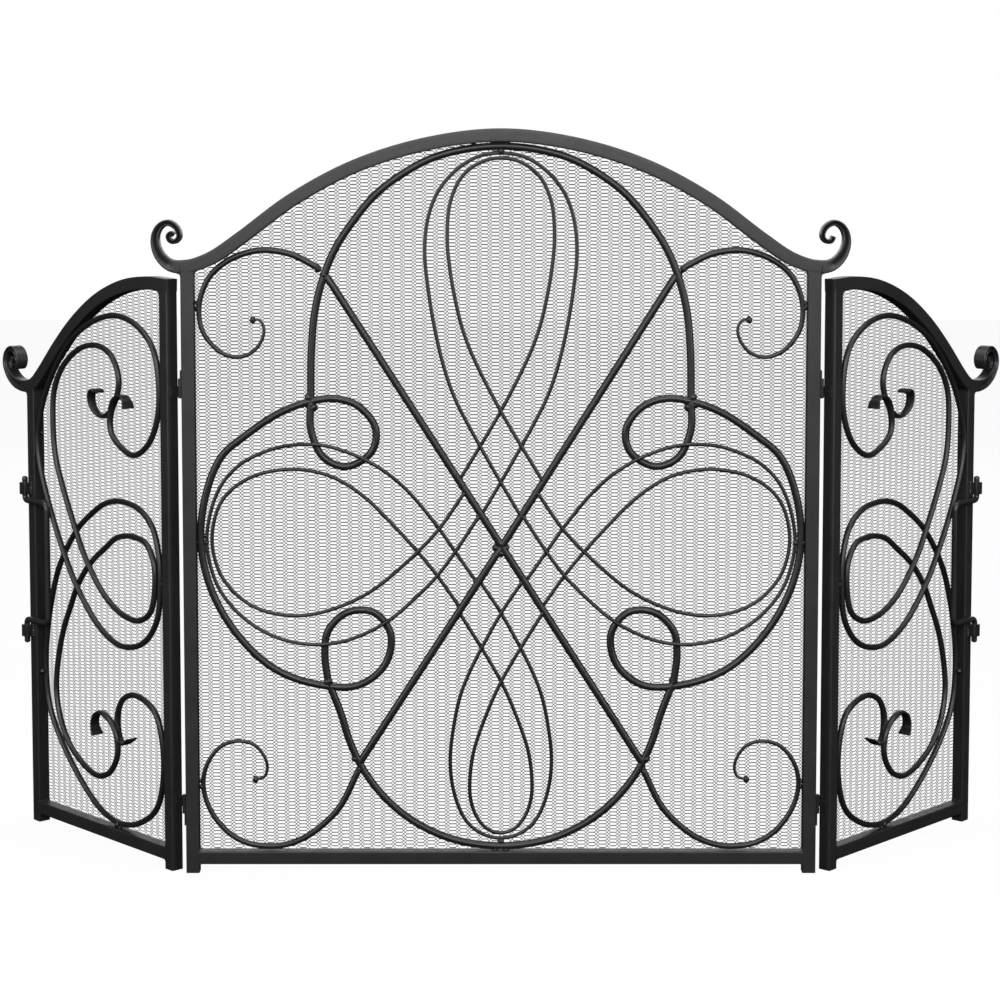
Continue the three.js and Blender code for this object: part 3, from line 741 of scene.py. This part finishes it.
def add_centre_scrollwork():
    upper, lower = (beyond(CROSS_MIDDLE, tip, CROSS_REACH) for tip in (CROSS_UPPER, CROSS_LOWER))
    (upper_left, lower_left) = mirror_u([upper, lower])
    add_bar("cross_long_bar", CENTRE, [straight_bar(upper_left, lower)], "cross_bar_long")
    add_bar("cross_upper_arm", CENTRE, [straight_bar(CROSS_MIDDLE, upper)], "cross_bar_upper")
    add_bar("cross_lower_arm", CENTRE, [straight_bar(CROSS_MIDDLE, lower_left)], "cross_bar_lower")
    for name, half in (("top", TOP_LOBE), ("bottom", BOTTOM_LOBE)):
        shell = round_bar(at_depth(whole(half), BAR_DEPTH), BAR_RADIUS)
        add_bar(f"{name}_lobe_bar", CENTRE, [shell], f"{name}_lobe")
    petals = {
        "top_inner": TOP_PETAL_INNER, "top_outer": TOP_PETAL_OUTER,
        "bottom_inner": BOTTOM_PETAL_INNER, "bottom_outer": BOTTOM_PETAL_OUTER,
    }
    for name, half in petals.items():
        add_bar(f"petal_{name}_rod", CENTRE, [petal(whole(half))], f"petal_{name}")
    for word, side in SIDES.items():
        lobe = round_bar(at_depth(of_side(side, SIDE_LOBE), BAR_DEPTH), BAR_RADIUS)
        add_bar(f"{word}_lobe_bar", CENTRE, [lobe], f"{word}_lobe")
        corners = {"upper": UPPER_CORNER_SCROLL, "lower": LOWER_CORNER_SCROLL}
        for level, route in corners.items():
            line = at_depth(of_side(side, route), BAR_DEPTH)
            scroll = round_bar(line, corner_scroll_radius, step=2)
            knob = blob(line[-1], KNOB_RADII, side + 2)
            add_bar(f"scroll_{level}_{word}_bar", CENTRE, [scroll, knob], f"scroll_{level}_{word}")
        inner = petal(of_side(side, SIDE_PETAL_INNER), reverse=True)
        add_bar(f"petal_{word}_inner_rod", CENTRE, [inner], f"petal_{word}_inner")
        outer = petal(of_side(side, SIDE_PETAL_OUTER), over_loops=True, reverse=True)
        add_bar(f"petal_{word}_outer_rod", CENTRE, [outer], f"petal_{word}_outer")


RIBBON_FROM_END = [0, 5, 11, 22, 45, 75]
RIBBON_HALF_THICK = [0.9, 1.0, 1.2, 1.8, 2.6, SIDE_BAR_RADIUS]
RIBBON_HALF_WIDE = [8.3, 7.6, 6.3, 5.4, 4.7, SIDE_BAR_RADIUS]
RIBBON_DEPTH = 4.8
RIBBON_LEVEL_SPAN = (12, 60)
RIBBON_ROUND_SPAN = (8, 60)


def ribboned_bar(route, layer):
    """A round bar whose two ends are hammered out flat, and flare where they are cut off."""
    depth = lerp(SIDE_BAR_FRONT, SIDE_BAR_BACK, layer(np.linspace(0, 1, len(route))))
    line = smooth_line(at_depth(route, depth), 1.6)
    along = np.cumsum([0, *np.linalg.norm(np.diff(line, axis=0), axis=1)])
    from_end = np.minimum(along, along[-1] - along)
    line[:, 1] = lerp(RIBBON_DEPTH, line[:, 1], smoothstep(from_end, *RIBBON_LEVEL_SPAN))
    circle = ring_of(1, 24)
    squarish = np.sign(circle) * np.abs(circle) ** 0.35
    round_share = smoothstep(from_end, *RIBBON_ROUND_SPAN)[:, None, None]
    size = np.column_stack([
        np.interp(from_end, RIBBON_FROM_END, RIBBON_HALF_THICK),
        np.interp(from_end, RIBBON_FROM_END, RIBBON_HALF_WIDE),
    ])
    return swept(line, lerp(squarish, circle, round_share) * size[:, None, :])


def outer_layer(t):
    return smoothstep(t, 0.42, 0.58)


def inner_layer(t):
    return 1 - smoothstep(t, 0.19, 0.33) + smoothstep(t, 0.43, 0.57) - smoothstep(t, 0.67, 0.81)


def add_side_scrollwork(word, panel):
    outer = ribboned_bar(OUTER_SCROLL, outer_layer)
    inner = ribboned_bar(INNER_SCROLL, inner_layer)
    add_bar(f"{word}_outer_scroll_bar", panel, [outer], f"{word}_outer_scroll")
    add_bar(f"{word}_inner_scroll_bar", panel, [inner], f"{word}_inner_scroll")


# ---------------------------------------------------------------- hinges

def add_hinges(word, side, panel):
    for level, (z, up) in HINGES.items():
        name = f"{word}_{level}_hinge"
        pin_u = side * (CENTRE_HALF + STILE_GAP / 2)
        knuckle = (z + up * LEAF_GAP, z + up * CENTRE_KNUCKLE_HEIGHT)
        leaf = (z + up * LEAF_GAP, z + up * (LEAF_HEIGHT + LEAF_GAP))
        face = side * (CENTRE_HALF + LEAF_GAP)
        shells = hinge_leaf(face, side, leaf, pin_u, knuckle)
        add_tube(f"{name}_centre_plate", CENTRE, shells, "hinge", [f"{name}_centre_leaf"])
        knuckle = (z - up * KNUCKLE_HEIGHT, z)
        shells = hinge_leaf(-LEAF_GAP, -1, knuckle, -STILE_GAP / 2, knuckle)
        add_tube(f"{name}_side_plate", panel, shells, "hinge", [f"{name}_side_leaf"])
        foot, tip = z - up * (KNUCKLE_HEIGHT + PIN_HEAD), z + up * PIN_TIP
        head = [
            [0.2, foot], [KNUCKLE_RADIUS * 0.75, foot + up * 0.1],
            [KNUCKLE_RADIUS, foot + up * 0.6], [KNUCKLE_RADIUS, foot + up * 1.2],
            [PIN_RADIUS, foot + up * 1.3],
        ]
        end = [[PIN_RADIUS, tip - up * 0.6], [PIN_RADIUS * 0.6, tip - up * 0.1], [0.2, tip]]
        pin = lathe(head + end, pin_u, PIN_DEPTH)
        add_tube(f"{name}_pin_rod", CENTRE, [pin], "hinge", [f"{name}_pin"])


def hinge_leaf(face, way, leaf, pin_u, knuckle):
    """A leaf on a stile's side face, its rolled knuckle and its one screw."""
    low, high = sorted(leaf)
    outer = face + way * LEAF_THICKNESS
    thick = abs(outer - face) / 2
    section = rounded_box_section(thick, (PIN_DEPTH - 2) / 2, 0.3)
    centre_u, centre_w = (face + outer) / 2, (PIN_DEPTH + 2) / 2
    line = even_steps(np.array([[centre_u, centre_w, low], [centre_u, centre_w, high]]), 6)
    k0, k1 = sorted(knuckle)
    ring = [
        [KNUCKLE_BORE, k0], [KNUCKLE_RADIUS - 0.3, k0], [KNUCKLE_RADIUS, k0 + 0.3],
        [KNUCKLE_RADIUS, k1 - 0.3], [KNUCKLE_RADIUS - 0.3, k1], [KNUCKLE_BORE, k1],
    ]
    return [swept(line, section), lathe(ring, pin_u, PIN_DEPTH, ring=True),
            screw_head(outer, way, centre_w - 1.5, (low + high) / 2)]


def screw_head(face, way, w, z, radius=2.1, dome=0.45):
    """A low domed screw head on a face that looks along u."""
    points, faces = lathe([[0.2, dome], [radius * 0.6, dome * 0.8], [radius, 0.15], [radius, -0.3]],
                          0, 0, 20)
    turned = np.column_stack([face + way * points[:, 2], w + points[:, 0], z + points[:, 1]])
    return turned, faces


# ---------------------------------------------------------------- handles

def bail_line():
    """Down through the upper socket, along the arm, grip and other arm, and out below."""
    pivot = SIDE_WIDTH - PIVOT_IN
    grip = pivot - HANDLE_REACH
    tip = SOCKET_START + SOCKET_HEIGHT + ROD_TIP
    corners = np.array([
        [pivot, tip], [pivot, HANDLE_HALF_GRIP], [grip, HANDLE_HALF_GRIP],
        [grip, -HANDLE_HALF_GRIP], [pivot, -HANDLE_HALF_GRIP], [pivot, -tip],
    ]) + [0, HANDLE_Z]
    line = [corners[0]]
    for i in range(1, len(corners) - 1):
        bend = SOCKET_BEND if i in (1, len(corners) - 2) else HANDLE_BEND
        here = corners[i]
        entry = here + (corners[i - 1] - here) / np.linalg.norm(corners[i - 1] - here) * bend
        leave = here + (corners[i + 1] - here) / np.linalg.norm(corners[i + 1] - here) * bend
        t = np.linspace(0, 1, 10)[:, None]
        line.extend((1 - t) ** 2 * entry + 2 * t * (1 - t) * here + t**2 * leave)
    return at_depth([*line, corners[-1]], -PIVOT_FRONT)


def bored_block(u, z0, z1):
    """A block with soft edges on the stile's front face, with an upright round bore."""
    sides = 48
    circle = ring_of(1, sides)
    middle_w = -SOCKET_DEPTH / 2
    half = np.array([SOCKET_HALF, SOCKET_DEPTH / 2])
    outer = np.sign(circle) * np.abs(circle) ** 0.3 * half + [u, middle_w]
    bore = circle * SOCKET_BORE + [u, -PIVOT_FRONT]
    low, high = z0 + SOCKET_EDGE, z1 - SOCKET_EDGE
    soft = lerp(np.array([u, middle_w]), outer, 0.93)
    rings = [(bore, z0), (soft, z0), (outer, low), (outer, high), (soft, z1), (bore, z1)]
    points = np.vstack([np.column_stack([shape, np.full(sides, z)]) for shape, z in rings])
    return points, tube_faces(len(rings), sides) + closing_faces(len(rings), sides)


def add_handle(word, panel):
    shell = round_bar(bail_line(), HANDLE_RADIUS, step=1.5, sides=20, curved=False)
    nodes = [f"{word}_handle_bail"]
    add_piece(f"{word}_handle_rod", panel, [shell], "handle", nodes, body=f"{word}_handle")
    pivot = SIDE_WIDTH - PIVOT_IN
    for level, start in (("upper", SOCKET_START), ("lower", -SOCKET_START - SOCKET_HEIGHT)):
        z0 = HANDLE_Z + start
        z1 = z0 + SOCKET_HEIGHT
        shells = [bored_block(pivot, z0, z1)]
        for k, z in enumerate(np.linspace(z0 + 1, z1 - 1, 5)):
            shells.append(blob([pivot - SOCKET_HALF, 0, z], SOCKET_WELD, k + len(word)))
        nodes = [f"{word}_{level}_socket"]
        add_tube(f"{word}_{level}_socket_block", panel, shells, "handle", nodes)


# ---------------------------------------------------------------- welds

def centre_welds():
    """Where bars meet bars in the centre panel, as (u, z, size) on the right or the middle."""
    cross = [(0, 375, 4.4), (0, 364, 4.4), (5.5, 370, 4.0), (-5.5, 370, 4.2)]
    tips = [
        (0, 813, 4.2), (0, 823.5, 4.6), (7, 823.4, 3.6), (-8, 823.3, 3.6),
        (0, 35, 4.0), (0, 24.5, 4.4), (6, 25, 3.6), (-6, 25, 3.6),
    ]
    paired = [
        (214, 540, 4.8), (208.5, 528.5, 4.4), (216, 531, 3.8), (206, 536.5, 4.0),
        (194, 218, 5.2), (190, 211, 4.0), (200, 213.5, 3.6),
        (197, 676, 4.6), (203, 683, 4.2), (164, 130, 4.4), (160, 118, 3.8),
        (338.2, 639, 3.0), (338.4, 645, 2.4), (338.2, 98, 3.0), (338.4, 104, 2.4),
        (338.4, 376, 3.4), (338.6, 384, 2.8), (338.6, 368, 2.8),
        (330, 376, 3.2), (331, 384, 2.6), (331, 367, 2.6),
    ]
    rods = [(48, 446, 3.4), (22.5, 406, 3.4), (47, 299.5, 3.4), (23.5, 331.5, 3.4),
            (46.5, 302.5, 3.2), (28.5, 332.5, 3.2), (41, 432.5, 3.2), (25, 406, 3.2)]
    both = [(side * u, z, size) for u, z, size in paired + rods for side in (1, -1)]
    return cross + tips + both


SIDE_WELD_DEPTH = SIDE_BAR_FRONT + 2.5


def side_welds():
    """Where a side panel's two bars touch its frame, as (u, z, size)."""
    return [
        (20, 545, 3.2), (17.8, 549, 2.6), (21, 325, 3.2), (18, 332, 2.6), (273.5, 475, 3.4),
        (275.5, 481, 2.6), (273.5, 186, 3.4), (118, 28.5, 3.2), (113, 26, 2.6),
    ]


def add_welds(name, panel, spots, depth):
    shells = []
    for i, (u, z, size) in enumerate(spots):
        shells.append(blob([u, depth + (i % 3 - 1) * 0.5, z], (size, size * 0.95, size), i))
    add_piece(name, panel, shells, "scrollwork", sharp=180)


# ---------------------------------------------------------------- studio

FLOOR_HALF = 9
FLOOR_GLOW = 0.955
FLOOR_ROUGHNESS = 0.8


def add_floor():
    material, tree, shader = principled("studio_floor")
    tone = colour_ramp(tree, noise_node(tree, 3, 2), [(0.2, 0.035), (0.8, 0.045)])
    tree.links.new(tone, shader.inputs["Base Color"])
    shader.inputs["Emission Color"].default_value = (1, 1, 1, 1)
    shader.inputs["Emission Strength"].default_value = FLOOR_GLOW
    shader.inputs["Specular IOR Level"].default_value = 0
    shader.inputs["Roughness"].default_value = FLOOR_ROUGHNESS
    mesh = bpy.data.meshes.new("studio_floor")
    half = FLOOR_HALF
    corners = [(-half, -half, 0), (half, -half, 0), (half, half, 0), (-half, half, 0)]
    mesh.from_pydata(corners, [], [(0, 1, 2, 3)])
    mesh.materials.append(material)
    floor = bpy.data.objects.new("studio_floor", mesh)
    bpy.context.scene.collection.objects.link(floor)
    floor.visible_diffuse = False
    floor.visible_glossy = False


def add_softbox(name, place, aim, size, power):
    light = bpy.data.lights.new(name, "AREA")
    light.shape = "RECTANGLE"
    light.size, light.size_y = size
    light.energy = power
    lamp = bpy.data.objects.new(name, light)
    lamp.location = place
    lamp.rotation_euler = (Vector(aim) - Vector(place)).to_track_quat("-Z", "Y").to_euler()
    bpy.context.scene.collection.objects.link(lamp)
    lamp.visible_camera = False


def add_surroundings():
    """A white background that only shows, so that the softboxes alone light the black steel."""
    world = bpy.data.worlds.new("studio")
    world.use_nodes = True
    background = world.node_tree.nodes["Background"]
    background.inputs["Color"].default_value = (1, 1, 1, 1)
    background.inputs["Strength"].default_value = 1
    world.cycles_visibility.diffuse = False
    world.cycles_visibility.glossy = False
    bpy.context.scene.world = world


CAMERA_HEIGHT = 0.8095
CAMERA_DISTANCE = 2.661
CAMERA_TILT = math.radians(4.65)
CAMERA_LENS = 86.59
CAMERA_SHIFT = -0.15
CAMERA_X = -0.001
SENSOR_WIDTH = 36


def add_camera():
    data = bpy.data.cameras.new("camera")
    data.lens = CAMERA_LENS
    data.sensor_width = SENSOR_WIDTH
    data.shift_y = CAMERA_SHIFT
    camera = bpy.data.objects.new("camera", data)
    camera.location = (CAMERA_X, FRONT - CAMERA_DISTANCE, CAMERA_HEIGHT)
    camera.rotation_euler = (math.pi / 2 - CAMERA_TILT, 0, 0)
    bpy.context.scene.collection.objects.link(camera)
    bpy.context.scene.camera = camera


# Each is a name, a place, a point it looks at, a size in metres and a power in watts
SOFTBOXES = [
    ("overhead_softbox", (0, -0.3, 2.7), (0, 0, 0.4), (2.8, 1.8), 62),
    ("front_softbox", (0, -3.6, 1.7), (0, 0, 0.45), (3.2, 1.5), 90),
    ("rear_softbox", (0, 3.4, 1.6), (0, 0, 0.5), (4.0, 2.0), 45),
    ("side_softbox_1", (-2.9, -2.0, 1.3), (0, 0, 0.45), (1.3, 1.9), 44),
    ("side_softbox_3", (2.9, -2.0, 1.3), (0, 0, 0.45), (1.3, 1.9), 44),
]

# ---------------------------------------------------------------- the whole screen

add_camera()
add_floor()
add_surroundings()
for softbox in SOFTBOXES:
    add_softbox(*softbox)
bpy.context.scene.view_settings.view_transform = "Standard"

centre_underside = add_centre_frame()
reach = CENTRE_HALF - TUBE
add_wire_mesh(CENTRE, "centre_mesh", "centre_mesh", -reach, reach, centre_underside, split=True)
add_centre_scrollwork()
add_welds("centre_welds", CENTRE, centre_welds(), BAR_DEPTH)
for side_word, side_panel_frame in SIDE_PANELS.items():
    side_underside = add_side_frame(side_word, side_panel_frame)
    add_wire_mesh(side_panel_frame, f"{side_word}_mesh", f"{side_word}_mesh",
                  TUBE, SIDE_WIDTH - TUBE, side_underside, split=False)
    add_side_scrollwork(side_word, side_panel_frame)
    add_welds(f"{side_word}_welds", side_panel_frame, side_welds(), SIDE_WELD_DEPTH)
    add_handle(side_word, side_panel_frame)
    add_hinges(side_word, SIDES[side_word], side_panel_frame)
